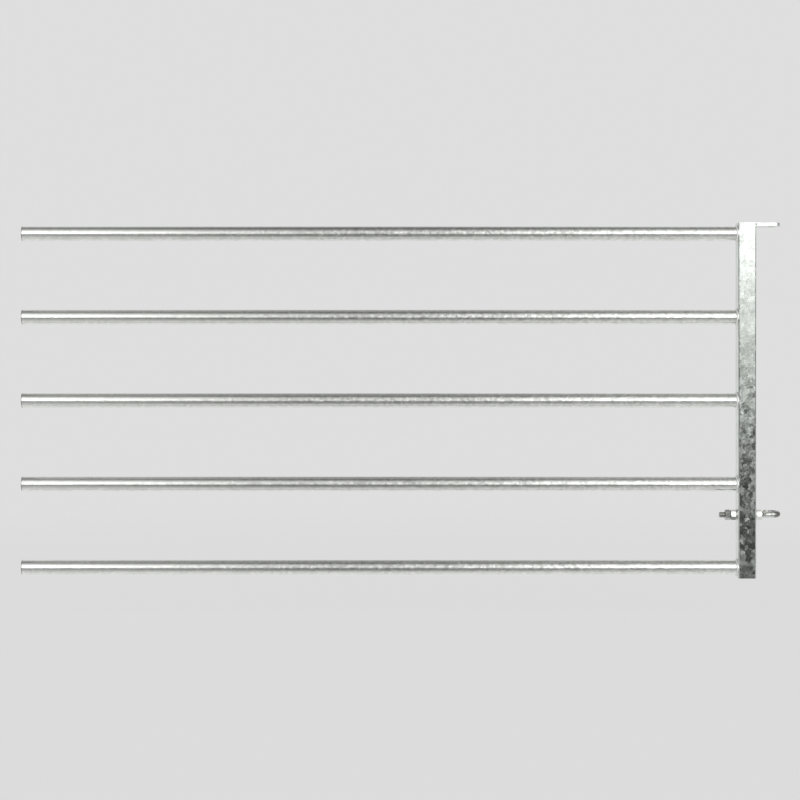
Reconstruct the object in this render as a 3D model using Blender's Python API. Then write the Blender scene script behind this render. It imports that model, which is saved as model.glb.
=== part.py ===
"""Half of an extending cattle fence panel: five open round rails on one square hinge upright."""

import math

import bmesh
import bpy

# Driving sizes, in metres. The origin is on the hinge axis, at the underside of the top lug.
# The panel reaches to -X from there, its front faces -Y and +Z is up.
UPRIGHT_HEIGHT = 1.176
UPRIGHT_SIDE = 0.060
UPRIGHT_WALL = 0.003
UPRIGHT_CORNER = 0.006  # outer radius of the hollow section's corners
CAP_THICKNESS = 0.003
CAP_VENT_RADIUS = 0.006

RAIL_COUNT = 5
RAIL_LENGTH = 2.370
RAIL_RADIUS = 0.02415
RAIL_WALL = 0.002
RAIL_MARGIN = 0.035  # from the axis of an outer rail to the upright's end
RAIL_VENT_RADIUS = 0.008  # zinc drain hole in the upright, inside each rail
WELD_LEG = 0.005
WELD_CROWN = 0.0006  # how far a bead bulges past its straight chord

LUG_WIDTH = 0.060
LUG_THICKNESS = 0.012
LUG_HOLE_RADIUS = 0.011
LUG_GROOVE = 0.004  # weld bevel along the lug's butt end, top and bottom

BOLT_RADIUS = 0.010
BOLT_DROP = 0.1025  # from the axis of the last rail but one down to the bolt
BOLT_CHAMFER = 0.0015
EYE_RADIUS = 0.0105  # inside the eye
EYE_NECK_RADIUS = 0.0035  # inside of the bend between shank and eye
EYE_TIP_GAP = 0.002  # between the curled tip and the shank
EYE_RISE = 0.006  # how far the tip stands above the shank
EYE_TRAVEL = 0.018  # outward adjustment
THREAD_SPARE = 0.001  # rod that still shows behind the lock nut at full travel
SHANK_CLEARANCE = 0.001  # round the shank in the upright's holes and in the sleeve
SLEEVE_WALL = 0.0025
WASHER_RADIUS = 0.0185
WASHER_THICKNESS = 0.003
WASHER_CLEARANCE = 0.0005
NUT_FLATS = 0.030
NUT_HEIGHT = 0.018
NUT_FACE_SHARE = 0.95  # chamfer circle on a nut's face, as a share of its width over flats
NUT_CHAMFER_ANGLE = math.radians(30)
NUT_MOUTH = 0.0012  # countersink at each end of the thread
NUT_BLANK_SPARE = 0.0012  # how far the round blank stands past the nut's corners
NUT_TURN = math.radians(-12)  # a front flat that faces a little upwards

SEAT_GAP = 0.0003  # between two pieces that touch
THREAD_GAP = 0.0003  # between a nut's bore and the rod
NECK_GAP = 0.0004  # between the hinge side nut and the start of the eye's bend

# Facets
ROUND_STEPS = 48
FASTENER_STEPS = 36
ROD_BEVEL = 10  # gives the rod 24 sides
CORNER_STEPS = 8
CROWN_STEPS = 4
EYE_STEP = math.radians(9)

# What follows from the driving sizes
EYE_MEAN_RADIUS = EYE_RADIUS + BOLT_RADIUS
NECK_MEAN_RADIUS = EYE_NECK_RADIUS + BOLT_RADIUS
NECK_START = math.sqrt(EYE_MEAN_RADIUS**2 + 2 * EYE_MEAN_RADIUS * NECK_MEAN_RADIUS)
NUT_SEAT = SEAT_GAP + WASHER_THICKNESS + SEAT_GAP
LOCK_SEAT = NUT_SEAT + NUT_HEIGHT + SEAT_GAP
HINGE_REACH = NUT_SEAT + NUT_HEIGHT + NECK_GAP + NECK_START
HINGE_FACE_X = -HINGE_REACH
RAIL_FACE_X = HINGE_FACE_X - UPRIGHT_SIDE
UPRIGHT_X = (HINGE_FACE_X + RAIL_FACE_X) / 2
TOP_Z = LUG_THICKNESS
FOOT_Z = TOP_Z - UPRIGHT_HEIGHT
RAIL_PITCH = (UPRIGHT_HEIGHT - 2 * RAIL_MARGIN) / (RAIL_COUNT - 1)
RAIL_HEIGHTS = [TOP_Z - RAIL_MARGIN - number * RAIL_PITCH for number in range(RAIL_COUNT)]
BOLT_Z = RAIL_HEIGHTS[-2] - BOLT_DROP
SHANK_HOLE_RADIUS = BOLT_RADIUS + SHANK_CLEARANCE
SHANK_END_X = RAIL_FACE_X - LOCK_SEAT - NUT_HEIGHT - EYE_TRAVEL - THREAD_SPARE

# Colour, roughness and metallic value of each finish
HOT_DIP_ZINC = ((0.60, 0.62, 0.62, 1.0), 0.36, 1.0)
WELDED_ZINC = ((0.68, 0.69, 0.68, 1.0), 0.45, 1.0)
BOLT_ZINC = ((0.55, 0.56, 0.55, 1.0), 0.32, 1.0)

ALONG_MINUS_X = (0, math.radians(-90), 0)
ALONG_PLUS_X = (0, math.radians(90), 0)


def clear_scene():
    for obj in list(bpy.data.objects):
        bpy.data.objects.remove(obj, do_unlink=True)


def finish(name, look):
    colour, roughness, metallic = look
    material = bpy.data.materials.new(name)
    material.use_nodes = True
    shader = material.node_tree.nodes["Principled BSDF"]
    shader.inputs["Base Color"].default_value = colour
    shader.inputs["Roughness"].default_value = roughness
    shader.inputs["Metallic"].default_value = metallic
    return material


def place(name, data, look, location=(0, 0, 0), rotation=(0, 0, 0)):
    """Puts a piece into the panel, with its own finish."""
    piece = bpy.data.objects.new(name, data)
    bpy.context.scene.collection.objects.link(piece)
    piece.location = location
    piece.rotation_euler = rotation
    data.materials.clear()
    data.materials.append(finish(name + "_finish", look))
    return piece


def helper(name, mesh, location=(0, 0, 0), rotation=(0, 0, 0)):
    """A shape that only cuts or trims others."""
    cutter = bpy.data.objects.new(name, mesh)
    bpy.context.scene.collection.objects.link(cutter)
    cutter.location = location
    cutter.rotation_euler = rotation
    cutter.hide_render = True
    cutter.display_type = "WIRE"
    return cutter


def trim(piece, cutter, operation="DIFFERENCE"):
    modifier = piece.modifiers.new(cutter.name, "BOOLEAN")
    modifier.operation = operation
    modifier.object = cutter
    return piece


def finished_mesh(name, bm):
    bmesh.ops.recalc_face_normals(bm, faces=bm.faces)
    mesh = bpy.data.meshes.new(name)
    bm.to_mesh(mesh)
    bm.free()
    mesh.shade_smooth()
    mesh.set_sharp_from_angle(angle=math.radians(30))
    return mesh


def turned(name, profile, steps, first=0):
    """A closed profile of (radius, height) points, turned round the local Z axis from an angle."""
    bm = bmesh.new()
    out = (math.cos(first), math.sin(first))
    points = [bm.verts.new((r * out[0], r * out[1], height)) for r, height in profile]
    edges = [bm.edges.new((points[i - 1], points[i])) for i in range(len(points))]
    bmesh.ops.spin(
        bm,
        geom=points + edges,
        cent=(0, 0, 0),
        axis=(0, 0, 1),
        angle=math.tau,
        steps=steps,
        use_merge=True,
    )
    bmesh.ops.remove_doubles(bm, verts=bm.verts, dist=1e-6)
    return finished_mesh(name, bm)


def ring_profile(inner, outer, start, end):
    return [(inner, start), (outer, start), (outer, end), (inner, end)]


def swept(outline, shift):
    """A solid from a flat outline of 3D points and the vector it is moved along."""
    bm = bmesh.new()
    face = bm.faces.new([bm.verts.new(point) for point in outline])
    moved = bmesh.ops.extrude_face_region(bm, geom=[face])["geom"]
    far = [item for item in moved if isinstance(item, bmesh.types.BMVert)]
    bmesh.ops.translate(bm, verts=far, vec=shift)
    return bm


def extruded(name, outline, start, end):
    """An outline of (x, y) points, extruded along the local Z axis."""
    return finished_mesh(name, swept([(x, y, start) for x, y in outline], (0, 0, end - start)))


def arc(centre, radius, start, end, steps):
    """Points along an arc in a plane, both ends included."""
    angles = [start + (end - start) * step / steps for step in range(steps + 1)]
    return [(centre[0] + radius * math.cos(a), centre[1] + radius * math.sin(a)) for a in angles]


def rounded_square(side, corner):
    half = side / 2 - corner
    outline = []
    for quarter, (x, y) in enumerate([(1, 1), (-1, 1), (-1, -1), (1, -1)]):
        start = quarter * math.pi / 2
        outline += arc((x * half, y * half), corner, start, start + math.pi / 2, CORNER_STEPS)
    return outline


def drill(name, radius, start, end, location, rotation=(0, 0, 0)):
    """A round cutter."""
    circle = arc((0, 0), radius, 0, math.tau, FASTENER_STEPS)[:-1]
    return helper(name, extruded(name, circle, start, end), location, rotation)


def build_upright_seat():
    """The upright's outside with the seat gap round it, which trims the beads that lie on it."""
    outline = rounded_square(UPRIGHT_SIDE + 2 * SEAT_GAP, UPRIGHT_CORNER + SEAT_GAP)
    mesh = extruded("upright_seat", outline, FOOT_Z - UPRIGHT_SIDE, TOP_Z + UPRIGHT_SIDE)
    return helper("upright_seat", mesh, (UPRIGHT_X, 0, 0))


def build_upright():
    """The square hinge upright, with a drain hole inside each rail and the eye bolt's holes."""
    outside = rounded_square(UPRIGHT_SIDE, UPRIGHT_CORNER)
    upright = place(
        "upright",
        extruded("upright", outside, FOOT_Z, TOP_Z),
        HOT_DIP_ZINC,
        (UPRIGHT_X, 0, 0),
    )
    inside = rounded_square(UPRIGHT_SIDE - 2 * UPRIGHT_WALL, UPRIGHT_CORNER - UPRIGHT_WALL)
    bore = extruded("upright_bore", inside, FOOT_Z - UPRIGHT_SIDE, TOP_Z + UPRIGHT_SIDE)
    trim(upright, helper("upright_bore", bore, (UPRIGHT_X, 0, 0)))
    for number, height in enumerate(RAIL_HEIGHTS, 1):
        place_at = (RAIL_FACE_X, 0, height)
        reach = 2 * UPRIGHT_WALL
        name = f"rail_drain_{number}"
        trim(upright, drill(name, RAIL_VENT_RADIUS, -reach, reach, place_at, ALONG_PLUS_X))
    place_at = (UPRIGHT_X, 0, BOLT_Z)
    name = "shank_holes"
    trim(upright, drill(name, SHANK_HOLE_RADIUS, -UPRIGHT_SIDE, UPRIGHT_SIDE, place_at, ALONG_PLUS_X))
    return upright


def build_cap(name, bottom):
    """A plate welded into one end of the upright, with a drain hole."""
    side = UPRIGHT_SIDE - 2 * (UPRIGHT_WALL + SEAT_GAP)
    corner = UPRIGHT_CORNER - UPRIGHT_WALL - SEAT_GAP
    mesh = extruded(name, rounded_square(side, corner), 0, CAP_THICKNESS)
    cap = place(name, mesh, HOT_DIP_ZINC, (UPRIGHT_X, 0, bottom))
    reach = 2 * CAP_THICKNESS
    return trim(cap, drill(name + "_drain", CAP_VENT_RADIUS, -reach, reach, (UPRIGHT_X, 0, bottom)))


def build_rail(number, height):
    """A round tube, open at its free end."""
    profile = ring_profile(RAIL_RADIUS - RAIL_WALL, RAIL_RADIUS, 0, RAIL_LENGTH)
    name = f"rail_{number}"
    location = (RAIL_FACE_X - SEAT_GAP, 0, height)
    return place(name, turned(name, profile, ROUND_STEPS), HOT_DIP_ZINC, location, ALONG_MINUS_X)


def crowned(start, end):
    """Points of a bead's outer surface between its two toes, bulging to the left of start to end."""
    across, up = end[0] - start[0], end[1] - start[1]
    points = []
    for step in range(CROWN_STEPS + 1):
        share = step / CROWN_STEPS
        bulge = WELD_CROWN * math.sin(math.pi * share) / math.hypot(across, up)
        x = start[0] + across * share - up * bulge
        y = start[1] + up * share + across * bulge
        points.append((x, y))
    return points


def build_rail_weld(number, height, upright_seat):
    """The fillet bead round a rail, which laps the upright's rounded corners."""
    root = RAIL_RADIUS + SEAT_GAP
    toe = root + WELD_LEG
    profile = [(toe, -UPRIGHT_CORNER), (root, -UPRIGHT_CORNER)]
    profile += crowned((root, WELD_LEG), (toe, SEAT_GAP))
    name = f"rail_weld_{number}"
    mesh = turned(name, profile, ROUND_STEPS)
    weld = place(name, mesh, WELDED_ZINC, (RAIL_FACE_X, 0, height), ALONG_MINUS_X)
    return trim(weld, upright_seat)


def build_hinge_lug():
    """Flat bar with a round end and the hinge pin's hole, bevelled where it butts on the upright."""
    half = LUG_WIDTH / 2
    butt = HINGE_FACE_X + SEAT_GAP
    outline = arc((0, 0), half, -math.pi / 2, math.pi / 2, ROUND_STEPS // 2)
    outline += [(butt, half), (butt, -half)]
    bm = swept([(x, y, 0) for x, y in outline], (0, 0, LUG_THICKNESS))
    at_butt = [e for e in bm.edges if all(abs(v.co.x - butt) < 1e-6 for v in e.verts)]
    across = [e for e in at_butt if abs(e.verts[0].co.z - e.verts[1].co.z) < 1e-6]
    bmesh.ops.bevel(bm, geom=across, offset=LUG_GROOVE, segments=1, affect="EDGES")
    lug = place("hinge_lug", finished_mesh("hinge_lug", bm), HOT_DIP_ZINC)
    reach = 2 * LUG_THICKNESS
    return trim(lug, drill("hinge_pin_hole", LUG_HOLE_RADIUS, -reach, reach, (0, 0, 0)))


def build_lug_weld(name, face_z, outward, upright_seat):
    """The bead in one bevel of the lug, which laps the upright's rounded corners."""
    wall = HINGE_FACE_X - UPRIGHT_CORNER
    root = HINGE_FACE_X + SEAT_GAP
    depth = LUG_GROOVE - 2 * SEAT_GAP
    crown = crowned((root, 0), (root + depth, 0))[-2:0:-1]
    section = [(wall, 0), (wall, -depth), (root, -depth), (root + depth, 0), *crown, (root, 0)]
    outline = [(x, -LUG_WIDTH / 2, face_z + outward * z) for x, z in section]
    mesh = finished_mesh(name, swept(outline, (0, LUG_WIDTH, 0)))
    return trim(place(name, mesh, WELDED_ZINC), upright_seat)


def build_bolt_sleeve():
    """Spacer tube between the upright's walls, which keeps the nuts from crushing them."""
    length = UPRIGHT_SIDE - 2 * (UPRIGHT_WALL + SEAT_GAP)
    profile = ring_profile(SHANK_HOLE_RADIUS, SHANK_HOLE_RADIUS + SLEEVE_WALL, -length / 2, length / 2)
    mesh = turned("bolt_sleeve", profile, FASTENER_STEPS)
    return place("bolt_sleeve", mesh, HOT_DIP_ZINC, (UPRIGHT_X, 0, BOLT_Z), ALONG_PLUS_X)


def eye_path():
    """The rod's centre line from its threaded end, through the neck and round the eye to its tip."""
    meeting = math.atan2(NECK_MEAN_RADIUS, NECK_START)
    neck_turn = math.pi / 2 - meeting
    neck = arc(
        (-NECK_START, -NECK_MEAN_RADIUS),
        NECK_MEAN_RADIUS,
        math.pi / 2,
        meeting,
        math.ceil(neck_turn / EYE_STEP),
    )
    tip_angle = math.asin((BOLT_RADIUS + EYE_TIP_GAP) / (EYE_MEAN_RADIUS + BOLT_RADIUS))
    eye_start = math.pi + meeting
    eye_end = 3 * math.pi - tip_angle
    eye_steps = math.ceil((eye_end - eye_start) / EYE_STEP)
    eye = arc((0, 0), EYE_MEAN_RADIUS, eye_start, eye_end, eye_steps)[1:]
    path = [(SHANK_END_X, 0, 0), (SHANK_END_X + BOLT_CHAMFER, 0, 0)]
    path += [(x, y, 0) for x, y in neck]
    path += [(x, y, EYE_RISE * step / eye_steps) for step, (x, y) in enumerate(eye, 1)]
    return path


def build_eye_bolt():
    """Threaded rod with its end rolled into an eye round the hinge axis."""
    path = eye_path()
    curve = bpy.data.curves.new("eye_bolt", "CURVE")
    curve.dimensions = "3D"
    curve.twist_mode = "MINIMUM"
    curve.bevel_depth = BOLT_RADIUS
    curve.bevel_resolution = ROD_BEVEL
    curve.use_fill_caps = True
    spline = curve.splines.new("POLY")
    spline.points.add(len(path) - 1)
    for point, place_on_path in zip(spline.points, path):
        point.co = (*place_on_path, 1)
    chamfered = (BOLT_RADIUS - BOLT_CHAMFER) / BOLT_RADIUS
    spline.points[0].radius = chamfered
    spline.points[-1].radius = chamfered
    return place("eye_bolt", curve, BOLT_ZINC, (0, 0, BOLT_Z))


def nut_mesh():
    """A chamfered ring, cut to a hexagon whose corners lie on the local X axis."""
    bore = (BOLT_RADIUS + THREAD_GAP) / math.cos(math.pi / FASTENER_STEPS)
    corner = NUT_FLATS / 2 / math.cos(math.pi / 6)
    face = NUT_FLATS / 2 * NUT_FACE_SHARE
    outer = corner + NUT_BLANK_SPARE
    shoulder = (outer - face) * math.tan(NUT_CHAMFER_ANGLE)
    profile = [
        (bore + NUT_MOUTH, 0),
        (face, 0),
        (outer, shoulder),
        (outer, NUT_HEIGHT - shoulder),
        (face, NUT_HEIGHT),
        (bore + NUT_MOUTH, NUT_HEIGHT),
        (bore, NUT_HEIGHT - NUT_MOUTH),
        (bore, NUT_MOUTH),
    ]
    off_corner = math.pi / FASTENER_STEPS
    blank = helper("nut_blank", turned("nut_blank", profile, FASTENER_STEPS, off_corner))
    hexagon = arc((0, 0), corner, 0, math.tau, 6)[:-1]
    bar = helper("nut_bar", extruded("nut_bar", hexagon, -NUT_HEIGHT, 2 * NUT_HEIGHT))
    trim(blank, bar, "INTERSECT")
    graph = bpy.context.evaluated_depsgraph_get()
    return bpy.data.meshes.new_from_object(blank.evaluated_get(graph))


def build_washer(name, start):
    """A round washer, whose lower X face is at start."""
    profile = ring_profile(BOLT_RADIUS + WASHER_CLEARANCE, WASHER_RADIUS, 0, WASHER_THICKNESS)
    mesh = turned(name, profile, FASTENER_STEPS)
    return place(name, mesh, BOLT_ZINC, (start, 0, BOLT_Z), ALONG_PLUS_X)


def build_nut(name, mesh, start, turn):
    """A nut, whose lower X face is at start, turned by an angle on the rod."""
    nut = place(name, mesh.copy(), BOLT_ZINC, (start, 0, BOLT_Z), ALONG_PLUS_X)
    nut.rotation_euler.rotate_axis("Z", turn)
    return nut


def build_fasteners():
    """The washers and nuts along the eye bolt, from its eye to its threaded end."""
    mesh = nut_mesh()
    build_washer("hinge_side_washer", HINGE_FACE_X + SEAT_GAP)
    build_nut("hinge_side_nut", mesh, HINGE_FACE_X + NUT_SEAT, NUT_TURN)
    build_washer("rail_side_washer", RAIL_FACE_X - SEAT_GAP - WASHER_THICKNESS)
    build_nut("rail_side_nut", mesh, RAIL_FACE_X - NUT_SEAT - NUT_HEIGHT, NUT_TURN)
    build_nut("lock_nut", mesh, RAIL_FACE_X - LOCK_SEAT - NUT_HEIGHT, 0)


def main():
    clear_scene()
    upright_seat = build_upright_seat()
    build_upright()
    build_cap("top_cap", TOP_Z - CAP_THICKNESS)
    build_cap("foot_cap", FOOT_Z)
    for number, height in enumerate(RAIL_HEIGHTS, 1):
        build_rail(number, height)
        build_rail_weld(number, height, upright_seat)
    build_hinge_lug()
    build_lug_weld("lug_weld_upper", LUG_THICKNESS, 1, upright_seat)
    build_lug_weld("lug_weld_lower", 0, -1, upright_seat)
    build_bolt_sleeve()
    build_eye_bolt()
    build_fasteners()


main()
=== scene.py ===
import math

import bmesh
import bpy
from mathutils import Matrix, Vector


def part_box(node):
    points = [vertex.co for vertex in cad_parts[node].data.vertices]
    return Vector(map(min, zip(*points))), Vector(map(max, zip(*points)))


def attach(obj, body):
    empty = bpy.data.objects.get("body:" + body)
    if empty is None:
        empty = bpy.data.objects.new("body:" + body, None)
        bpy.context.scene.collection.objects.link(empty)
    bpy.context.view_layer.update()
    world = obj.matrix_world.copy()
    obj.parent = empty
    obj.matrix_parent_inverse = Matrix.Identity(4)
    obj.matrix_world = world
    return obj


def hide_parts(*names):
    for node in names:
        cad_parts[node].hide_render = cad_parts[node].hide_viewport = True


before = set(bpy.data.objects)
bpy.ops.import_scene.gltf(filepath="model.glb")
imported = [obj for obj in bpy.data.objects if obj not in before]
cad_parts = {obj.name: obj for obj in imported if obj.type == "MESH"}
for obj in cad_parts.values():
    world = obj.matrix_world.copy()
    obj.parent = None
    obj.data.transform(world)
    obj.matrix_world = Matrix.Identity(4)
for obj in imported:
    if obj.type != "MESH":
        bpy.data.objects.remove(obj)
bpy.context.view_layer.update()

mm = 0.001
seatGap = 0.0003  # between two pieces that touch
weldDistance = 1e-6  # points nearer than this are one
alongAxis = 0.99  # an edge runs along an axis if its direction has more of it than this
sharpAngle = math.radians(32)


# hand tools

def deselectAll():
    if bpy.context.object and bpy.context.object.mode != "OBJECT":
        bpy.ops.object.mode_set(mode="OBJECT")
    bpy.ops.object.select_all(action="DESELECT")


def takeUp(piece, mode="OBJECT"):
    deselectAll()
    bpy.context.view_layer.objects.active = piece
    piece.select_set(True)
    if mode == "EDIT":
        bpy.ops.object.mode_set(mode="EDIT")
        bpy.ops.mesh.select_mode(type="VERT")
    return piece


def nameIt(name):
    piece = bpy.context.active_object
    piece.name = name
    piece.data.name = name
    return piece


def settle(piece):  # its place goes into its mesh
    takeUp(piece)
    bpy.ops.object.transform_apply(location=True, rotation=True, scale=True)
    return piece


def pick(kind, test):  # selects what passes a test of its middle and its normal or direction
    bpy.ops.mesh.select_mode(type=kind)
    bpy.ops.mesh.select_all(action="DESELECT")
    data = bpy.context.active_object.data
    mesh = bmesh.from_edit_mesh(data)
    if kind == "VERT":
        found = [v for v in mesh.verts if test(v.co, v.normal)]
    else:
        ends = [(e, e.verts[0].co, e.verts[1].co) for e in mesh.edges]
        found = [e for e, a, b in ends if test((a + b) / 2, (b - a).normalized())]
    for item in found:
        item.select_set(True)
    mesh.select_flush_mode()
    bmesh.update_edit_mesh(data)


def push(shift):
    bpy.ops.mesh.extrude_region_move(TRANSFORM_OT_translate={"value": shift})


def pushAll(shift):  # in edit mode: an outline becomes a wall, a sheet a block
    bpy.ops.mesh.select_all(action="SELECT")
    push(shift)
    tidyMesh()


def tidyMesh():  # in edit mode: one skin, facing outwards
    bpy.ops.mesh.select_all(action="SELECT")
    bpy.ops.mesh.remove_doubles(threshold=weldDistance)
    bpy.ops.mesh.normals_make_consistent(inside=False)


def drawWire(name, points, closed=False):  # one vertex, extruded from point to point
    deselectAll()
    bpy.ops.mesh.primitive_plane_add(size=0.01, location=points[0])  # merged, so its size is lost
    piece = takeUp(nameIt(name), "EDIT")
    bpy.ops.mesh.select_all(action="SELECT")
    bpy.ops.mesh.merge(type="CENTER")
    for before, after in zip(points, points[1:]):
        push(Vector(after) - Vector(before))
    if closed:
        ends = [Vector((0, 0, 0)), Vector(points[-1]) - Vector(points[0])]  # from the wire's own origin
        pick("VERT", lambda co, normal: min((co - end).length for end in ends) < weldDistance)
        bpy.ops.mesh.edge_face_add()
    return settle(piece)


def spinRound(piece, steps, centre):  # a full turn about an axis along x
    takeUp(piece, "EDIT")
    bpy.ops.mesh.select_all(action="SELECT")
    bpy.ops.mesh.spin(steps=steps, angle=math.tau, center=centre, axis=(1, 0, 0))
    tidyMesh()
    bpy.ops.object.mode_set(mode="OBJECT")
    return piece


def useModifier(piece, kind, **settings):
    takeUp(piece)
    modifier = piece.modifiers.new(kind.title(), kind)
    for key, value in settings.items():
        setattr(modifier, key, value)
    bpy.ops.object.modifier_apply(modifier=modifier.name)


def combine(piece, tool, operation="DIFFERENCE"):
    useModifier(piece, "BOOLEAN", object=tool, operation=operation, solver="EXACT")
    bpy.data.objects.remove(tool, do_unlink=True)
    return piece


def softenEdges(piece, width, segments=2, angle=60):  # rounds edges that turn by more than the angle
    useModifier(
        piece,
        "BEVEL",
        width=width,
        segments=segments,
        limit_method="ANGLE",
        angle_limit=math.radians(angle),
        harden_normals=False,
    )


def roundBar(name, radius, start, end, steps=64):  # a round cutter from one point to another
    deselectAll()
    start, end = Vector(start), Vector(end)
    turn = (end - start).to_track_quat("Z", "Y").to_euler()
    bpy.ops.mesh.primitive_cylinder_add(
        vertices=steps,
        radius=radius,
        depth=(end - start).length,
        location=(start + end) / 2,
        rotation=turn,
    )
    return settle(nameIt(name))


def roundedSheet(name, side, corner, centre, steps):  # a square face with round corners
    deselectAll()
    bpy.ops.mesh.primitive_plane_add(size=side, location=centre)
    sheet = takeUp(nameIt(name), "EDIT")
    bpy.ops.mesh.select_all(action="SELECT")
    bpy.ops.mesh.bevel(affect="VERTICES", offset=corner, segments=steps, profile=0.5)
    return settle(sheet)


def latheRing(name, outline, axisZ, steps):  # an outline of (x, radius), turned about an axis along x
    ring = drawWire(name, [(x, 0, axisZ + radius) for x, radius in outline], closed=True)
    return spinRound(ring, steps, (0, 0, axisZ))


def softCorner(x, y, turnX, turnY, radius, steps):  # points round one corner of an outline
    points = []
    for step in range(steps + 1):
        angle = math.pi / 2 * step / steps
        across, up = radius * (1 - math.sin(angle)), radius * (1 - math.cos(angle))
        points.append((x + turnX * across, y + turnY * up))
    return points


def copyPiece(piece, name, shift):  # the copy has a mesh of its own
    takeUp(piece)
    bpy.ops.object.duplicate(linked=False)
    copied = nameIt(name)
    bpy.ops.transform.translate(value=shift)
    return settle(copied)


def smooth(piece):
    takeUp(piece)
    bpy.ops.object.shade_smooth_by_angle(angle=sharpAngle)
    useModifier(piece, "WEIGHTED_NORMAL", mode="FACE_AREA", weight=50, keep_sharp=True)


def finish(piece, slot):
    piece.data.materials.clear()
    piece.data.materials.append(finishes[slot])


def handOver(piece, body, slot, node):  # a finished piece takes its node's place
    smooth(piece)
    finish(piece, slot)
    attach(piece, body)
    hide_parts(node)


# shader tools

class Wire:  # a socket that can be reckoned with
    def __init__(self, paint, socket):
        self.paint, self.socket = paint, socket

    def reckon(self, operation, *others):
        sockets = dict(enumerate((self, *others)))
        return self.paint.node("ShaderNodeMath", {"operation": operation}, sockets)

    def flipped(self, operation, other):
        return self.paint.node("ShaderNodeMath", {"operation": operation}, {0: other, 1: self})

    def __add__(self, other):
        return self.reckon("ADD", other)

    def __sub__(self, other):
        return self.reckon("SUBTRACT", other)

    def __mul__(self, other):
        return self.reckon("MULTIPLY", other)

    def __truediv__(self, other):
        return self.reckon("DIVIDE", other)

    def __rsub__(self, other):
        return self.flipped("SUBTRACT", other)

    def __rtruediv__(self, other):
        return self.flipped("DIVIDE", other)

    def __neg__(self):
        return self * -1

    __radd__, __rmul__ = __add__, __mul__

    def sine(self):
        return self.reckon("SINE")

    def size(self):
        return self.reckon("ABSOLUTE")

    def atLeast(self, other):
        return self.reckon("MAXIMUM", other)

    def atMost(self, other):
        return self.reckon("MINIMUM", other)

    def rise(self, start, end):  # 0 below start, 1 above end
        settings = {"interpolation_type": "SMOOTHSTEP"}
        return self.paint.node("ShaderNodeMapRange", settings, {0: self, 1: start, 2: end})

    def out(self, name):  # another output of the same node
        return Wire(self.paint, self.socket.node.outputs[name])

    def part(self, axis):
        return self.paint.node("ShaderNodeSeparateXYZ", {}, {0: self}, axis)


class Paint:  # one node tree
    def __init__(self, tree):
        self.tree = tree

    def node(self, kind, settings=None, sockets=None, output=0):
        made = self.tree.nodes.new(kind)
        for key, value in (settings or {}).items():
            if key == "stops":
                self.setStops(made.color_ramp, value)
            else:
                setattr(made, key, value)
        for key, value in (sockets or {}).items():
            self.feed(made.inputs[key], value)
        return Wire(self, made.outputs[output])

    def feed(self, socket, value):
        if isinstance(value, Wire):
            self.tree.links.new(value.socket, socket)
        else:
            socket.default_value = value

    def setStops(self, ramp, stops):
        while len(ramp.elements) < len(stops):
            ramp.elements.new(1)
        for element, (position, value) in zip(ramp.elements, stops):
            element.position = position
            element.color = (value, value, value, 1)

    def blend(self, share, first, second):  # two colours
        return self.node("ShaderNodeMix", {"data_type": "RGBA"}, {0: share, 6: first, 7: second}, 2)

    def vector(self, operation, *values, output=0):
        return self.node("ShaderNodeVectorMath", {"operation": operation}, dict(enumerate(values)), output)

    def noise(self, place, scale, detail, roughness=0.5, output=0):
        sockets = {"Vector": place, "Scale": scale, "Detail": detail, "Roughness": roughness}
        return self.node("ShaderNodeTexNoise", {"noise_dimensions": "3D"}, sockets, output)

    def cells(self, place, scale):  # each cell has a colour of its own
        sockets = {"Vector": place, "Scale": scale, "Randomness": 1.0}
        return self.node("ShaderNodeTexVoronoi", {"feature": "F1"}, sockets, "Color")

    def scaled(self, value, share):
        return self.node("ShaderNodeVectorMath", {"operation": "SCALE"}, {"Vector": value, "Scale": share})

    def stretched(self, place, scale):
        return self.node("ShaderNodeMapping", {"vector_type": "POINT"}, {"Vector": place, "Scale": scale})


def newMaterial(name):
    material = bpy.data.materials.new(name)
    material.use_nodes = True
    return material, Paint(material.node_tree), material.node_tree.nodes["Principled BSDF"]


# zinc

zincSkin = {  # what all the zinc finishes share
    "border": 2.2,  # bumps of the ragged border along one crystal
    "borderDetail": 3.0,
    "borderRough": 0.6,
    "flakes": 3.1,  # flakes along one crystal
    "patchDetail": 4.0,
    "patchRough": 0.6,
    "patchEdge": (0.42, 0.68),
    "tone": 0.6,  # shares of crystal, flake, feather and base in the colour
    "light": 0.3,
    "feather": 0.05,
    "base": 0.05,
    "flakeRough": 0.04,
    "leastRough": 0.05,
    "waveDetail": 2.0,
    "peelDetail": 3.0,
}


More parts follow.
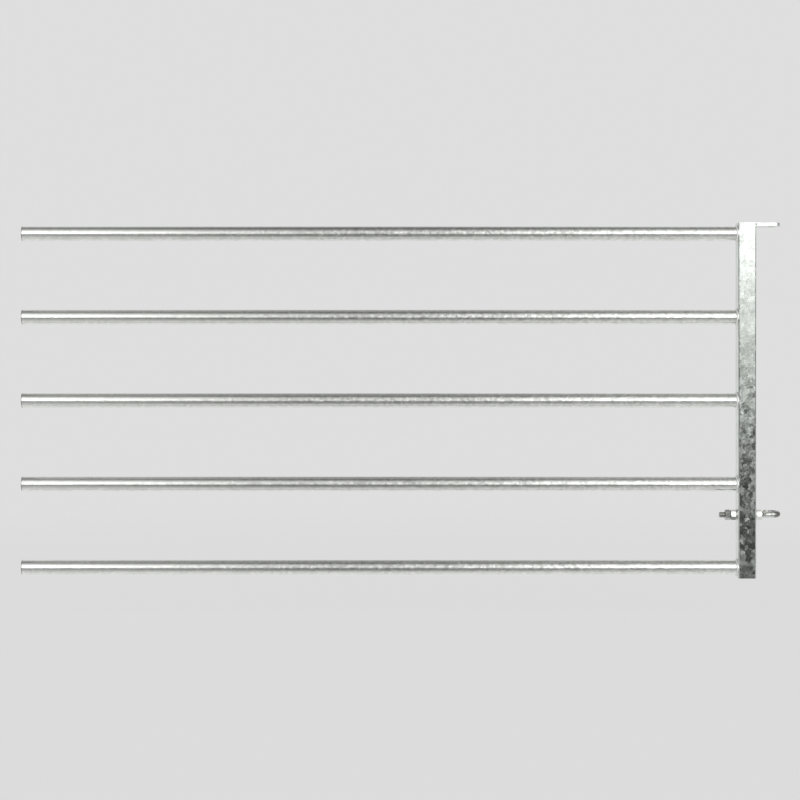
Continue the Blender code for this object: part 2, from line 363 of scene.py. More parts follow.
def zincMaterial(name, looks):
    skin = zincSkin
    material, paint, shader = newMaterial(name)
    place = paint.node("ShaderNodeTexCoord", output="Object")
    facing = paint.node("ShaderNodeNewGeometry", output="Normal")

    # crystals with ragged borders
    size = looks["crystal"]
    ragged = paint.noise(place, skin["border"] / size, skin["borderDetail"], skin["borderRough"], "Color")
    ragged = paint.vector("MULTIPLY_ADD", ragged, (size,) * 3, (-size / 2,) * 3)
    spot = paint.vector("ADD", place, ragged)
    crystal = paint.cells(spot, 1 / size)
    flake = paint.cells(spot, skin["flakes"] / size)
    tone, tooth, light = crystal.part(0), crystal.part(1), flake.part(2)

    # each crystal leans its own way
    lean = math.tan(math.radians(looks["lean"]))
    leaning = paint.vector("MULTIPLY_ADD", crystal, (2 * lean,) * 3, (-lean,) * 3)
    small = lean * looks["flakeLean"]
    flaking = paint.vector("MULTIPLY_ADD", flake, (2 * small,) * 3, (-small,) * 3)
    leaning = paint.vector("ADD", leaning, flaking)
    if "calm" in looks:  # the crystals lie flatter high up
        start, end, less = looks["calm"]
        leaning = paint.scaled(leaning, 1 - place.part(2).rise(start, end) * less)
    turned = paint.vector("ADD", facing, leaning)
    turned = paint.vector("ADD", turned, (0, 0, -math.tan(math.radians(looks["nod"]))))
    turned = paint.vector("NORMALIZE", turned)

    # feathers inside the crystals, dull patches over them
    heading = paint.vector("SUBTRACT", crystal, (0.5, 0.5, 0.5))
    run = paint.vector("DOT_PRODUCT", spot, heading, output="Value")
    feather = (run * (math.tau / looks["feather"])).sine()
    dull = paint.noise(place, looks["patch"], skin["patchDetail"], skin["patchRough"])
    dull = dull.rise(*skin["patchEdge"])

    share = tone * skin["tone"] + light * skin["light"] + feather * skin["feather"] + skin["base"]
    share = share - dull * looks["dulling"]
    colour = paint.blend(share.rise(0.0, 1.0), looks["dark"], looks["bright"])
    rough = looks["rough"] + (tooth - 0.5) * looks["roughSpread"] + (light - 0.5) * skin["flakeRough"]
    rough = (rough + dull * looks["dullRough"]).atLeast(skin["leastRough"])
    if "paintedEndShade" in looks:  # painted shade, darker and duller left of a place on the x axis
        end, fade, less, duller = looks["paintedEndShade"]
        paintedEndShade = 1 - place.part(0).rise(end - fade, end + fade)
        colour = paint.scaled(colour, 1 - paintedEndShade * less)
        rough = rough + paintedEndShade * duller
    for box, less in looks.get("paintedShade", []):  # painted shade, darker inside a box with soft sides
        paintedShade = 1
        for axis, (start, end, soft) in enumerate(box):
            if start is not None:
                paintedShade = place.part(axis).rise(start - soft, start + soft) * paintedShade
            if end is not None:
                paintedShade = (1 - place.part(axis).rise(end - soft, end + soft)) * paintedShade
        colour = paint.scaled(colour, 1 - paintedShade * less)

    # runs and orange peel of the dipped skin
    waves = paint.noise(paint.stretched(place, looks["waveStretch"]), 1.0, skin["waveDetail"])
    peel = paint.noise(place, looks["peel"], skin["peelDetail"])
    height = waves * looks["waveHeight"] + peel * looks["peelHeight"] + feather * looks["featherHeight"]
    sockets = {"Strength": 1.0, "Distance": 1.0, "Height": height, "Normal": turned}
    bump = paint.node("ShaderNodeBump", {}, sockets)

    paint.feed(shader.inputs["Base Color"], colour)
    paint.feed(shader.inputs["Roughness"], rough)
    paint.feed(shader.inputs["Normal"], bump)
    shader.inputs["Metallic"].default_value = 1.0
    return material


# finishes

uprightZinc = {
    "nod": 6.5,  # degrees that the skin tips down
    "calm": (-0.56, -0.40, 0.5),  # from one height to another, and how much flatter
    "crystal": 17 * mm,
    "lean": 0.6,  # degrees
    "flakeLean": 0.8,  # of the crystals' lean
    "feather": 1.5 * mm,
    "patch": 9.0,  # dull patches in a metre
    "dulling": 0.25,
    "dark": (0.66, 0.70, 0.655, 1),
    "bright": (0.84, 0.885, 0.84, 1),
    "rough": 0.11,
    "roughSpread": 0.20,
    "dullRough": 0.03,
    "waveStretch": (12.0, 12.0, 3.0),  # waves in a metre along each axis
    "waveHeight": 0.12 * mm,
    "peel": 260.0,  # grains in a metre
    "peelHeight": 0.02 * mm,
    "featherHeight": 0.002 * mm,
}
railZinc = {
    "nod": 0.0,
    "paintedEndShade": (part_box("rail_1")[0].x + 3 * mm, 1.5 * mm, 0.45, 0.2),  # painted shade at the rails' cut ends, where the zinc is also duller
    "crystal": 9 * mm,
    "lean": 0.8,
    "flakeLean": 0.5,
    "feather": 1.2 * mm,
    "patch": 14.0,
    "dulling": 0.2,
    "dark": (0.68, 0.69, 0.66, 1),
    "bright": (0.84, 0.85, 0.82, 1),
    "rough": 0.18,
    "roughSpread": 0.10,
    "dullRough": 0.04,
    "waveStretch": (4.0, 14.0, 14.0),
    "waveHeight": 0.2 * mm,
    "peel": 300.0,
    "peelHeight": 0.015 * mm,
    "featherHeight": 0.001 * mm,
}
plateZinc = {
    **uprightZinc,
    "nod": 0.0,
    "crystal": 9 * mm,
    "lean": 0.3,
    "rough": 0.20,
    "roughSpread": 0.12,
    "waveHeight": 0.08 * mm,
    "peel": 220.0,
    "peelHeight": 0.008 * mm,
}
beadZinc = {
    **railZinc,
    "crystal": 4 * mm,
    "lean": 2.0,
    "dark": (0.74, 0.75, 0.73, 1),
    "bright": (0.88, 0.89, 0.87, 1),
    "rough": 0.42,
    "peel": 500.0,
    "peelHeight": 0.03 * mm,
}
boltNutLow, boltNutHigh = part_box("rail_side_nut")
boltZ = (boltNutLow.z + boltNutHigh.z) / 2
# boxes of (from, to, softness) along x, y and z
nutFlat = [(boltNutLow.x, boltNutHigh.x, 0.3 * mm), (None, None, 0), (None, boltZ - 6 * mm, 1 * mm)]
eyeEnd = [(5 * mm, None, 7 * mm)]
boltZinc = {
    **railZinc,
    "nod": 6.5,
    "paintedEndShade": (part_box("lock_nut")[1].x, 0.5 * mm, 0.38, 0.0),  # painted shade on the lock nut and the bolt's end
    "paintedShade": [(nutFlat, 0.5), (eyeEnd, 0.68)],  # painted shade on the rail-side nut's lower flat and the eye's outer end, and how much darker each is
    "crystal": 3 * mm,
    "lean": 0.8,
    "dark": (0.60, 0.61, 0.58, 1),
    "bright": (0.78, 0.79, 0.76, 1),
    "rough": 0.24,
    "patch": 60.0,
    "waveStretch": (60.0, 60.0, 60.0),
    "waveHeight": 0.015 * mm,
    "peel": 900.0,
    "peelHeight": 0.003 * mm,
}
finishes = {
    "hot_dip_upright": zincMaterial("uprightZinc", uprightZinc),
    "hot_dip_rail": zincMaterial("railZinc", railZinc),
    "hot_dip_plate": zincMaterial("plateZinc", plateZinc),
    "weld_bead": zincMaterial("beadZinc", beadZinc),
    "bolt_zinc": zincMaterial("boltZinc", boltZinc),
}
print("finishes mixed:", ", ".join(sorted(finishes)))


# upright

uprightLow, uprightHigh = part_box("upright")
uprightX = (uprightLow.x + uprightHigh.x) / 2
railFaceX, hingeFaceX = uprightLow.x, uprightHigh.x
railNames = [name for name in sorted(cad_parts) if name.startswith("rail_") and name[5:].isdigit()]
railHeights = [(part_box(name)[0].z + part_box(name)[1].z) / 2 for name in railNames]

upright = {
    "side": uprightHigh.x - uprightLow.x,
    "corner": 6 * mm,
    "cornerSteps": 10,
    "wall": 3 * mm,
    "drain": 8 * mm,  # radius of the hole behind each rail
    "shankHole": 11 * mm,
    "rim": 0.5 * mm,
}
cornerRun = {  # zinc that ran down the front corner and set at the foot
    "width": 3.2 * mm,
    "height": 17 * mm,
    "sunk": 0.25,  # of its width, into the corner
    "lift": 0.1 * mm,
    "segments": 28,
    "rings": 24,
    "narrowFrom": (0.35, 0.55, 0.75),  # shares of its height
    "narrowing": 0.78,
}


def makeUpright():
    size = upright
    centre = (uprightX, 0, uprightLow.z)
    tube = roundedSheet("uprightTube", size["side"], size["corner"], centre, size["cornerSteps"])
    takeUp(tube, "EDIT")
    bpy.ops.mesh.select_all(action="SELECT")
    bpy.ops.mesh.delete(type="ONLY_FACE")
    pushAll((0, 0, uprightHigh.z - uprightLow.z))
    useModifier(tube, "SOLIDIFY", thickness=size["wall"], offset=-1, use_even_offset=True)
    for number, height in enumerate(railHeights, 1):
        reach = Vector((2 * size["wall"], 0, 0))
        spot = Vector((railFaceX, 0, height))
        combine(tube, roundBar(f"drain{number}", size["drain"], spot - reach, spot + reach))
    across = Vector((size["side"], 0, 0))
    spot = Vector((uprightX, 0, boltZ))
    combine(tube, roundBar("shankHoles", size["shankHole"], spot - across, spot + across))
    softenEdges(tube, size["rim"])
    combine(tube, makeRun(), "UNION")
    handOver(tube, "frame", "hot_dip_upright", "upright")


def makeRun():
    size = cornerRun
    width, height = size["width"], size["height"]
    inset = upright["corner"] * (1 - math.sqrt(0.5)) + size["sunk"] * width
    foot = uprightLow.z + size["lift"]
    deselectAll()
    bpy.ops.mesh.primitive_uv_sphere_add(
        segments=size["segments"],
        ring_count=size["rings"],
        radius=0.5,
        location=(hingeFaceX - inset, -upright["side"] / 2 + inset, foot + height / 2),
        scale=(width, width, height),
    )
    run = settle(nameIt("cornerRun"))
    takeUp(run, "EDIT")
    for share in size["narrowFrom"]:
        above = foot + height * share
        pick("VERT", lambda co, normal: co.z > above)
        bpy.ops.transform.resize(value=(size["narrowing"], size["narrowing"], 1))
    bpy.ops.object.mode_set(mode="OBJECT")
    return run


# end plates

endPlate = {"corner": 2.7 * mm, "cornerSteps": 6, "drain": 6 * mm, "drainReach": 6 * mm, "rim": 0.35 * mm}


def makeEndPlate(name, node):
    size = endPlate
    low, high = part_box(node)
    spot = Vector((uprightX, 0, low.z))
    plate = roundedSheet(name, high.x - low.x, size["corner"], spot, size["cornerSteps"])
    takeUp(plate, "EDIT")
    pushAll((0, 0, high.z - low.z))
    reach = Vector((0, 0, size["drainReach"]))
    combine(plate, roundBar(name + "Drain", size["drain"], spot - reach, spot + reach))
    softenEdges(plate, size["rim"])
    handOver(plate, "frame", "hot_dip_upright", node)


# rails

rail = {"sides": 128, "wall": 2 * mm, "rim": 0.6 * mm, "rimSteps": 3}
railLow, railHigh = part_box(railNames[0])
railRadius = (railHigh.z - railLow.z) / 2


def makeRails():
    deselectAll()
    bpy.ops.mesh.primitive_circle_add(
        vertices=rail["sides"],
        radius=railRadius,
        fill_type="NOTHING",
        location=(railLow.x, 0, railHeights[0]),
        rotation=(0, math.radians(90), 0),
    )
    first = settle(nameIt("railTube1"))
    takeUp(first, "EDIT")
    pushAll((railHigh.x - railLow.x, 0, 0))
    useModifier(first, "SOLIDIFY", thickness=rail["wall"], offset=-1)
    softenEdges(first, rail["rim"], rail["rimSteps"])
    placeRow(first, "railTube", "hot_dip_rail", railNames)


def placeRow(first, name, slot, nodes):  # the same piece at each rail's height
    row = [first]
    for number, height in enumerate(railHeights[1:], 2):
        row.append(copyPiece(first, f"{name}{number}", (0, 0, height - railHeights[0])))
    for piece, node in zip(row, nodes):
        handOver(piece, "frame", slot, node)


# weld beads

bead = {
    "levels": (0.25, 0.6),  # what stands above each share of a crest is lifted
    "lift": 0.8,
    "calmToe": 0.05,  # share of the bead that stays smooth beside the rail or the upright
}
railBead = {
    "leg": 5 * mm,
    "bulge": 0.7 * mm,
    "lap": 6 * mm,  # how far it reaches round the upright's corners
    "across": 9,
    "ripples": 68,
    "stepsPerRipple": 6,
    "height": 0.32 * mm,
    "lag": 0.45,  # how far a ripple's middle runs ahead of its ends
    "rippleEnd": 1.1,  # share of the leg at which the ripples stop
    "calmEdge": 0.5 * mm,  # smooth beside the upright
    "flanks": (0.15, 0.85),  # between these a ripple swells, outside them it stays level
}
lugBead = {
    "depth": 3.4 * mm,
    "bulge": 0.55 * mm,
    "across": 8,
    "ripples": 20,
    "stepsPerRipple": 5,
    "height": 0.28 * mm,
    "lag": 0.4,
    "rippleEnd": 0.95,
    "calmEdge": 0.1 * mm,  # smooth at both ends
}


def crown(start, end, bulge, steps):  # from toe to toe, bulging to the left
    start, end = Vector(start), Vector(end)
    along = end - start
    out = Vector((-along.y, along.x)).normalized()
    shares = [step / steps for step in range(steps + 1)]
    return [tuple(start + along * share + out * bulge * math.sin(math.pi * share)) for share in shares]


def uprightSeat():  # the upright's outside with its seat gap, which trims what lies on it
    size = upright
    low = (uprightX, 0, uprightLow.z - size["side"])
    side, corner = size["side"] + 2 * seatGap, size["corner"] + seatGap
    seat = roundedSheet("seat", side, corner, low, size["cornerSteps"])
    takeUp(seat, "EDIT")
    pushAll((0, 0, uprightHigh.z - uprightLow.z + 2 * size["side"]))
    bpy.ops.object.mode_set(mode="OBJECT")
    return seat


def ripple(piece, crest, height):  # lifts a bead's crests, then their middles, and trims it on the upright
    takeUp(piece, "EDIT")
    for level in bead["levels"]:
        pick("VERT", lambda co, normal: crest(co) > level)
        bpy.ops.transform.shrink_fatten(value=height * (1 - level) * bead["lift"])
    bpy.ops.object.mode_set(mode="OBJECT")
    combine(piece, uprightSeat())


def makeRailBeads():
    size = railBead
    root = railRadius + seatGap
    toe = root + size["leg"]
    toes = (railFaceX - size["leg"], root), (railFaceX - seatGap, toe)
    curve = crown(*toes, size["bulge"], size["across"])
    outline = [(railFaceX + size["lap"], toe), (railFaceX + size["lap"], root), *curve]
    first = latheRing("railBead1", outline, railHeights[0], size["ripples"] * size["stepsPerRipple"])
    flankStart, flankEnd = size["flanks"]

    def crest(co):  # from -1 in a valley to 1 on a crest
        off = math.hypot(co.y, co.z - railHeights[0]) - root
        share = off / size["leg"]
        if not bead["calmToe"] < share < size["rippleEnd"] or co.x > railFaceX - size["calmEdge"]:
            return 0
        turn = math.atan2(co.z - railHeights[0], co.y) / math.tau * size["ripples"]
        wave = math.cos(math.tau * (turn + size["lag"] * math.sin(math.pi * min(share, 1))))
        return wave * math.sin(math.pi * min(max(share, flankStart), flankEnd))

    ripple(first, crest, size["height"])
    nodes = [name.replace("rail_", "rail_weld_") for name in railNames]
    placeRow(first, "railBead", "weld_bead", nodes)


def makeLugBead(name, node, faceZ, outward):
    size = lugBead
    root = hingeFaceX + seatGap
    wall = hingeFaceX - upright["corner"]
    end = root + size["depth"]
    curve = crown((root, 0), (end, 0), size["bulge"], size["across"])[::-1]
    section = [(wall, 0), (wall, -size["depth"]), (root, -size["depth"]), *curve]
    half = lugWidth / 2
    run = drawWire(name, [(x, -half, faceZ + outward * z) for x, z in section], closed=True)
    takeUp(run, "EDIT")
    bpy.ops.mesh.select_all(action="SELECT")
    bpy.ops.mesh.edge_face_add()
    push((0, lugWidth, 0))
    pick("EDGE", lambda middle, along: abs(along.y) > alongAxis)
    bpy.ops.mesh.subdivide(number_cuts=size["ripples"] * size["stepsPerRipple"] - 1)
    tidyMesh()

    def crest(co):
        share = (co.x - root) / size["depth"]
        inside = abs(co.y) <= half - size["calmEdge"] and outward * (co.z - faceZ) >= 0
        if not bead["calmToe"] < share < size["rippleEnd"] or not inside:
            return 0
        turn = co.y / lugWidth * size["ripples"] + size["lag"] * math.sin(math.pi * share)
        return math.cos(math.tau * turn) * math.sin(math.pi * share)

    ripple(run, crest, size["height"])
    handOver(run, "frame", "weld_bead", node)


# hinge lug

lugLow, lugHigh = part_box("hinge_lug")
lugWidth = lugHigh.y - lugLow.y
hingeLug = {
    "sides": 128,
    "hole": 11 * mm,
    "holeSteps": 96,
    "groove": 4 * mm,  # along the butt end, for the beads
    "rim": 0.9 * mm,
    "rimSteps": 3,
}


def pickAcross(placeX):  # the edges along y at one place on x
    pick("EDGE", lambda middle, along: abs(middle.x - placeX) < weldDistance and abs(along.y) > alongAxis)


def makeHingeLug():
    size = hingeLug
    deselectAll()
    bpy.ops.mesh.primitive_circle_add(
        vertices=size["sides"], radius=lugWidth / 2, fill_type="NGON", location=(0, 0, lugLow.z)
    )
    lug = settle(nameIt("hingeLugPlate"))
    takeUp(lug, "EDIT")
    bpy.ops.mesh.select_all(action="SELECT")
    bpy.ops.mesh.bisect(plane_co=(0, 0, 0), plane_no=(1, 0, 0), clear_inner=True)
    pickAcross(0)
    push((lugLow.x, 0, 0))
    pushAll((0, 0, lugHigh.z - lugLow.z))
    bpy.ops.object.mode_set(mode="OBJECT")
    reach = Vector((0, 0, lugHigh.z))
    combine(lug, roundBar("pinHole", size["hole"], -reach, 2 * reach, size["holeSteps"]))
    takeUp(lug, "EDIT")
    pickAcross(lugLow.x)
    bpy.ops.mesh.bevel(offset=size["groove"], segments=1, affect="EDGES")
    tidyMesh()
    softenEdges(lug, size["rim"], size["rimSteps"])
    handOver(lug, "frame", "hot_dip_plate", "hinge_lug")


# eye bolt

thread = {
    "pitch": 2.5 * mm,  # M20
    "depth": 1.5 * mm,
    "under": 0.1 * mm,  # the crests lie this much inside the shank
    "flanks": (0.125, 0.4375, 0.5625, 0.875),  # a pitch's shares: root ends, crest, crest ends, root
    "spareTurns": 3,
    "steps": 40,
    "chamfer": 1.6 * mm,
    "chamferDrop": 0.3 * mm,  # inside the root, at the bolt's end
    "chamferSpare": 0.5 * mm,
    "blankSpare": 0.2 * mm,
    "blankOver": 5 * mm,
    "blankSteps": 72,
    "runOut": 1.0 * mm,  # what the bare rod reaches into the thread
    "backOff": 0.4 * mm,  # between the thread's end and the neck
}
eyeBolt = {
    "radius": 10 * mm,
    "eye": 20.5 * mm,  # to the middle of the rod
    "neck": 13.5 * mm,
    "tipGap": 2 * mm,
    "rise": 6 * mm,  # of the rod, once round the eye
    "step": 5,  # degrees along the bends
    "tipRound": 1.2 * mm,
    "tipShare": 0.88,  # of the radius, at the tip's cut face
    "startShare": 0.83,  # and at the end inside the thread
    "resolution": 14,
}
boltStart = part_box("eye_bolt")[0].x


def arc(centre, radius, start, end, step):
    count = math.ceil(abs(end - start) / step)
    angles = [start + (end - start) * number / count for number in range(count + 1)]
    x, y = centre
    return [Vector((x + radius * math.cos(a), y + radius * math.sin(a), 0)) for a in angles]


def makeThread(start, end):
    size = thread
    radius, pitch, steps = eyeBolt["radius"], size["pitch"], size["steps"]
    crest, root = radius - size["under"], radius - size["depth"]
    rootEnd, crestStart, crestEnd, rootStart = size["flanks"]
    profile = [(0, root), (rootEnd, root), (crestStart, crest)]
    profile += [(crestEnd, crest), (rootStart, root), (1, root)]
    winding = drawWire("thread", [(share * pitch, 0, height) for share, height in profile])
    useModifier(
        winding,
        "SCREW",
        axis="X",
        angle=math.tau,
        screw_offset=pitch,
        iterations=math.ceil((end - start) / pitch) + size["spareTurns"],
        steps=steps,
        render_steps=steps,
        use_merge_vertices=True,
        merge_threshold=weldDistance,
    )
    bpy.ops.transform.translate(value=(start - pitch, 0, boltZ))
    settle(winding)
    takeUp(winding, "EDIT")
    tidyMesh()
    for place, cut in ((start, "clear_inner"), (end, "clear_outer")):
        bpy.ops.mesh.select_all(action="SELECT")
        bpy.ops.mesh.bisect(plane_co=(place, 0, 0), plane_no=(1, 0, 0), use_fill=True, **{cut: True})
    tidyMesh()
    bpy.ops.object.mode_set(mode="OBJECT")
    wide, over = radius + size["blankSpare"], end + size["blankOver"]
    outline = [(start, 0), (start, root - size["chamferDrop"])]
    outline += [(start + size["chamfer"] + size["chamferSpare"], wide), (over, wide), (over, 0)]
    blank = latheRing("threadBlank", outline, boltZ, size["blankSteps"])
    return combine(winding, blank, "INTERSECT")


def eyePath():  # the middle of the rod, from inside the thread to the tip
    size = eyeBolt
    eye, neck = size["eye"], size["neck"]
    neckStart = math.sqrt(eye**2 + 2 * eye * neck)
    meeting = math.atan2(neck, neckStart)
    tipAngle = math.asin((size["radius"] + size["tipGap"]) / (eye + size["radius"]))
    step = math.radians(size["step"])
    threadEnd = -neckStart - thread["backOff"]
    bend = arc((-neckStart, -neck), neck, math.pi / 2, meeting, step)
    curl = arc((0, 0), eye, math.pi + meeting, 3 * math.pi - tipAngle, step)[1:]
    path = [Vector((threadEnd - thread["runOut"], 0, 0)), Vector((threadEnd, 0, 0)), *bend]
    for number, point in enumerate(curl, 1):
        path.append(point + Vector((0, 0, size["rise"] * number / len(curl))))
    beforeTip = path[-1].lerp(path[-2], size["tipRound"] / (path[-1] - path[-2]).length)
    path.insert(-1, beforeTip)
    return path, threadEnd


def makeEyeBolt():
    size = eyeBolt
    path, threadEnd = eyePath()
    first, last = path[0].copy(), path[-1].copy()
    drawWire("rolledEye", [point + Vector((0, 0, boltZ)) for point in path])
    bpy.ops.object.convert(target="CURVE")
    rod = bpy.context.active_object
    rod.data.bevel_depth = size["radius"]
    rod.data.bevel_resolution = size["resolution"]
    rod.data.use_fill_caps = True
    rod.data.twist_mode = "MINIMUM"
    for point in rod.data.splines[0].points:
        away = point.co.xyz - Vector((0, 0, boltZ))
        if (away - first).length < weldDistance:
            point.radius = size["startShare"]
        elif (away - last).length < weldDistance:
            point.radius = size["tipShare"]
    bpy.ops.object.convert(target="MESH")
    rod = bpy.context.active_object
    takeUp(rod, "EDIT")
    tidyMesh()
    bpy.ops.object.mode_set(mode="OBJECT")
    bolt = makeThread(boltStart, threadEnd)
    combine(bolt, rod, "UNION")
    bolt.name = bolt.data.name = "rolledEyeBolt"
    takeUp(bolt, "EDIT")
    tidyMesh()
    handOver(bolt, "eye_bolt", "bolt_zinc", "eye_bolt")


# nuts and washers

nut = {
    "flats": 30 * mm,
    "bore": 10.3 * mm,
    "mouth": 1.2 * mm,
    "faceShare": 0.95,  # of the flats, where the chamfer starts
    "chamfer": 30,  # degrees
    "blankSpare": 1.2 * mm,
    "rim": 0.35 * mm,
    "rimAngle": 40,
    "steps": 96,
    "turned": {"hinge_side_nut": 42, "rail_side_nut": 42, "lock_nut": 30},  # degrees about the bolt
}
washer = {
    "bore": 10.5 * mm,
    "roll": 0.9 * mm,
    "rollSteps": 4,
    "burr": 0.25 * mm,
    "burrSteps": 2,
    "steps": 96,
}


def makeNut(name, node):
    size = nut
    low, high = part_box(node)
    corner = size["flats"] / 2 / math.cos(math.pi / 6)
    face = size["flats"] / 2 * size["faceShare"]
    outer = corner + size["blankSpare"]
    shoulder = (outer - face) * math.tan(math.radians(size["chamfer"]))
    bore, mouth = size["bore"], size["mouth"]
    outline = [
        (low.x, bore + mouth),
        (low.x, face),
        (low.x + shoulder, outer),
        (high.x - shoulder, outer),
        (high.x, face),
        (high.x, bore + mouth),
        (high.x - mouth, bore),
        (low.x + mouth, bore),
    ]
    blank = latheRing(name, outline, boltZ, size["steps"])
    deselectAll()
    bpy.ops.mesh.primitive_cylinder_add(
        vertices=6,
        radius=corner,
        depth=2 * (high.x - low.x),
        location=((low.x + high.x) / 2, 0, boltZ),
        rotation=(0, math.radians(90), 0),
    )
    bar = nameIt(name + "Bar")
    turn = math.radians(size["turned"][node])
    bpy.ops.transform.rotate(value=turn, orient_axis="X", center_override=bar.location)
    settle(bar)
    combine(blank, bar, "INTERSECT")
    takeUp(blank, "EDIT")
    tidyMesh()
    softenEdges(blank, size["rim"], angle=size["rimAngle"])
    handOver(blank, node, "bolt_zinc", node)


def makeWasher(name, node, outside):  # its rolled edge faces the nut
    size = washer
    low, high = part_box(node)
    rim, bore, burr = (high.z - low.z) / 2, size["bore"], size["burr"]
    left, right = (size["roll"], burr) if outside < 0 else (burr, size["roll"])
    outline = softCorner(low.x, rim, 1, -1, left, size["rollSteps"])[::-1]
    outline += softCorner(high.x, rim, -1, -1, right, size["rollSteps"])
    outline += softCorner(high.x, bore, -1, 1, burr, size["burrSteps"])[::-1]
    outline += softCorner(low.x, bore, 1, 1, burr, size["burrSteps"])
    ring = latheRing(name, outline, boltZ, size["steps"])
    handOver(ring, "frame", "bolt_zinc", node)


makeUpright()
makeEndPlate("topPlate", "top_cap")
makeEndPlate("footPlate", "foot_cap")
print("upright and its end plates made")
makeRails()
makeRailBeads()
print("rails and their beads made")
makeHingeLug()
makeLugBead("lugBeadUpper", "lug_weld_upper", lugHigh.z, 1)
makeLugBead("lugBeadLower", "lug_weld_lower", lugLow.z, -1)
print("hinge lug made")
makeEyeBolt()
print("eye bolt made")
makeNut("hingeSideNut", "hinge_side_nut")
makeNut("railSideNut", "rail_side_nut")
makeNut("lockingNut", "lock_nut")
makeWasher("hingeSideWasher", "hinge_side_washer", 1)
makeWasher("railSideWasher", "rail_side_washer", -1)
print("nuts and washers made")
finish(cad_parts["bolt_sleeve"], "hot_dip_plate")  # inside the upright, its shape kept as it is


# camera, light and floor

panelX = -1.23  # the panel's middle

camera = {"place": (-1.2303, -6.53, -0.5743), "lens": 88.6, "sensor": 36}
light = {
    # brightness by degrees round the panel's length: 0 is the camera's side, 90 up, -90 down
    "aslant": [  # for directions that lean to either side
        (-180, 0.72), (-139, 0.90), (-109, 0.92), (-88, 0.84), (-69, 0.78), (-52, 0.67), (-36, 0.61),
        (-25, 0.55), (-21, 0.46), (-19, 0.07), (-17.5, 0.045), (-16, 0.05), (-14.7, 0.11), (-13.6, 0.29),
        (-12.4, 0.67), (-11.1, 0.84), (-10.0, 0.92), (-9.0, 1.30), (-7.6, 2.2), (12, 2.2), (25, 1.9),
        (40, 1.40), (49, 1.05), (56, 0.80), (65, 0.56), (74, 0.40), (84, 0.32), (100, 0.32), (112, 0.42),
        (128, 0.75), (145, 0.85), (180, 0.72),
    ],
    "square": [  # for directions that don't
        (-180, 0.72), (-139, 0.90), (-109, 0.88), (-88, 0.82), (-69, 0.67), (-52, 0.40), (-36, 0.24),
        (-24, 0.18), (-14, 0.20), (-6, 0.26), (0, 0.31), (8, 0.41), (30, 0.48), (42, 0.40), (52, 0.30),
        (64, 0.18), (84, 0.15), (100, 0.20), (118, 0.35), (140, 0.55), (180, 0.72),
    ],
    "squareSpan": (-0.02, 0.0, 0.22),  # middle of the square directions, start and end of the change
    "wings": (0.86, 0.94, 0.5),  # where directions far to either side darken, and how much
    "reach": 2.5,  # the ramps' 1 stands for this
    "pale": 0.735,  # what the camera sees behind the panel
}
floor = {
    "drop": 0.12,  # below the upright's foot
    "left": 1.15,  # its middle, from the upright
    "radius": 9.0,
    "sides": 96,
    "glow": 0.9,
    "fade": (3.0, 7.0),  # from the panel's middle
    "grey": 0.80,
}
softbox = {
    "beside": 2.6,  # from the panel's middle
    "front": 6.2,
    "high": 1.6,
    "aimBeside": 0.6,
    "aimDown": 0.6,
    "width": 2.4,
    "height": 1.6,
    "strength": 0.2,  # how bright the lamp itself is, where 1 is white
}


def setCamera():
    deselectAll()
    bpy.ops.object.camera_add(location=camera["place"], rotation=(math.radians(90), 0, 0))
    eye = bpy.context.active_object
    eye.data.sensor_width = camera["sensor"]
    eye.data.lens = camera["lens"]
    bpy.context.scene.camera = eye
    bpy.context.scene.view_settings.view_transform = "Standard"


def ringLight(room, levels, tilt):  # brightness round the panel's length
    stops = [((angle + 180) / 360, value / light["reach"]) for angle, value in levels]
    return room.node("ShaderNodeValToRGB", {"stops": stops}, {0: tilt / math.tau + 0.5}) * light["reach"]


def lightRoom():
    world = bpy.data.worlds.new("studio")
    bpy.context.scene.world = world
    world.use_nodes = True
    room = Paint(world.node_tree)
    background = world.node_tree.nodes["Background"]
    looking = room.node("ShaderNodeTexCoord", output="Generated")
    tilt = looking.part(2).reckon("ARCTAN2", -looking.part(1))
    middle, start, end = light["squareSpan"]
    aslant = (looking.part(0) - middle).size().rise(start, end)
    glow = ringLight(room, light["aslant"], tilt) * aslant
    glow = glow + ringLight(room, light["square"], tilt) * (1 - aslant)
    start, end, less = light["wings"]
    glow = glow * (1 - looking.part(0).size().rise(start, end) * less)
    path = room.node("ShaderNodeLightPath", output="Is Camera Ray")
    seen = (path + path.out("Is Transmission Ray")).atMost(1)
    glow = glow * (1 - seen) + seen * light["pale"]
    room.feed(background.inputs["Strength"], glow)
    background.inputs["Color"].default_value = (1, 1, 1, 1)


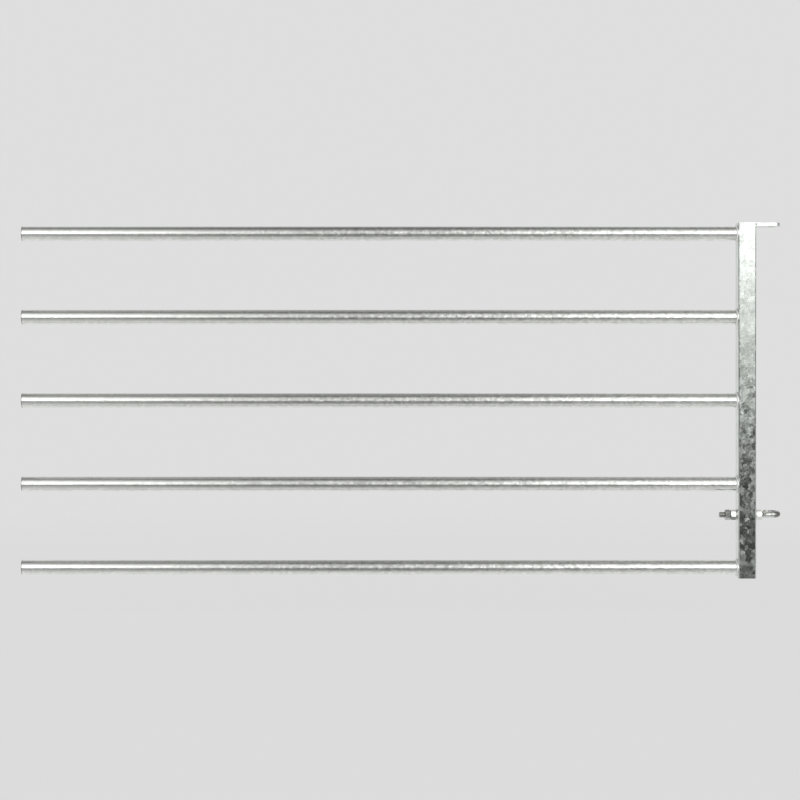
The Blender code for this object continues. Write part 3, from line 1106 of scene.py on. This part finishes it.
def layFloor():  # pale to the camera, fading out far away, and unseen in the zinc
    deselectAll()
    bpy.ops.mesh.primitive_circle_add(
        vertices=floor["sides"],
        radius=floor["radius"],
        fill_type="NGON",
        location=(uprightX - floor["left"], 0, uprightLow.z - floor["drop"]),
    )
    disc = settle(nameIt("floor"))
    material, paint, shader = newMaterial("paleFloor")
    place = paint.node("ShaderNodeTexCoord", output="Object")
    flat = paint.vector("MULTIPLY", paint.vector("ADD", place, (-panelX, 0, 0)), (1, 1, 0))
    away = paint.vector("LENGTH", flat, output="Value")
    path = paint.node("ShaderNodeLightPath", output="Is Camera Ray")
    seen = (path + path.out("Is Glossy Ray") + path.out("Is Transmission Ray")).atMost(1)
    shader.inputs["Base Color"].default_value = (floor["grey"],) * 3 + (1,)
    shader.inputs["Roughness"].default_value = 1.0
    shader.inputs["Specular IOR Level"].default_value = 0.0
    matt = Wire(paint, shader.outputs[0])
    glow = paint.node("ShaderNodeEmission", {}, {"Color": (light["pale"],) * 3 + (1,), "Strength": 1.0})
    clear = paint.node("ShaderNodeBsdfTransparent")
    lit = paint.node("ShaderNodeMixShader", {}, {0: seen * floor["glow"], 1: matt, 2: glow})
    faded = paint.node("ShaderNodeMixShader", {}, {0: away.rise(*floor["fade"]), 1: lit, 2: clear})
    paint.feed(material.node_tree.nodes["Material Output"].inputs["Surface"], faded)
    disc.data.materials.append(material)
    disc.visible_glossy = False


def hangSoftbox(name, side):
    size = softbox
    spot = Vector((panelX + side * size["beside"], -size["front"], size["high"]))
    aim = Vector((panelX + side * size["aimBeside"], 0, -size["aimDown"])) - spot
    deselectAll()
    turn = aim.to_track_quat("-Z", "Y").to_euler()
    bpy.ops.object.light_add(type="AREA", location=spot, rotation=turn)
    lamp = nameIt(name)
    lamp.data.shape = "RECTANGLE"
    lamp.data.size = size["width"]
    lamp.data.size_y = size["height"]
    lamp.data.energy = size["strength"] * math.pi * size["width"] * size["height"]


setCamera()
lightRoom()
layFloor()
hangSoftbox("softboxLeft", -1)
hangSoftbox("softboxRight", 1)
print("camera, light and floor set")
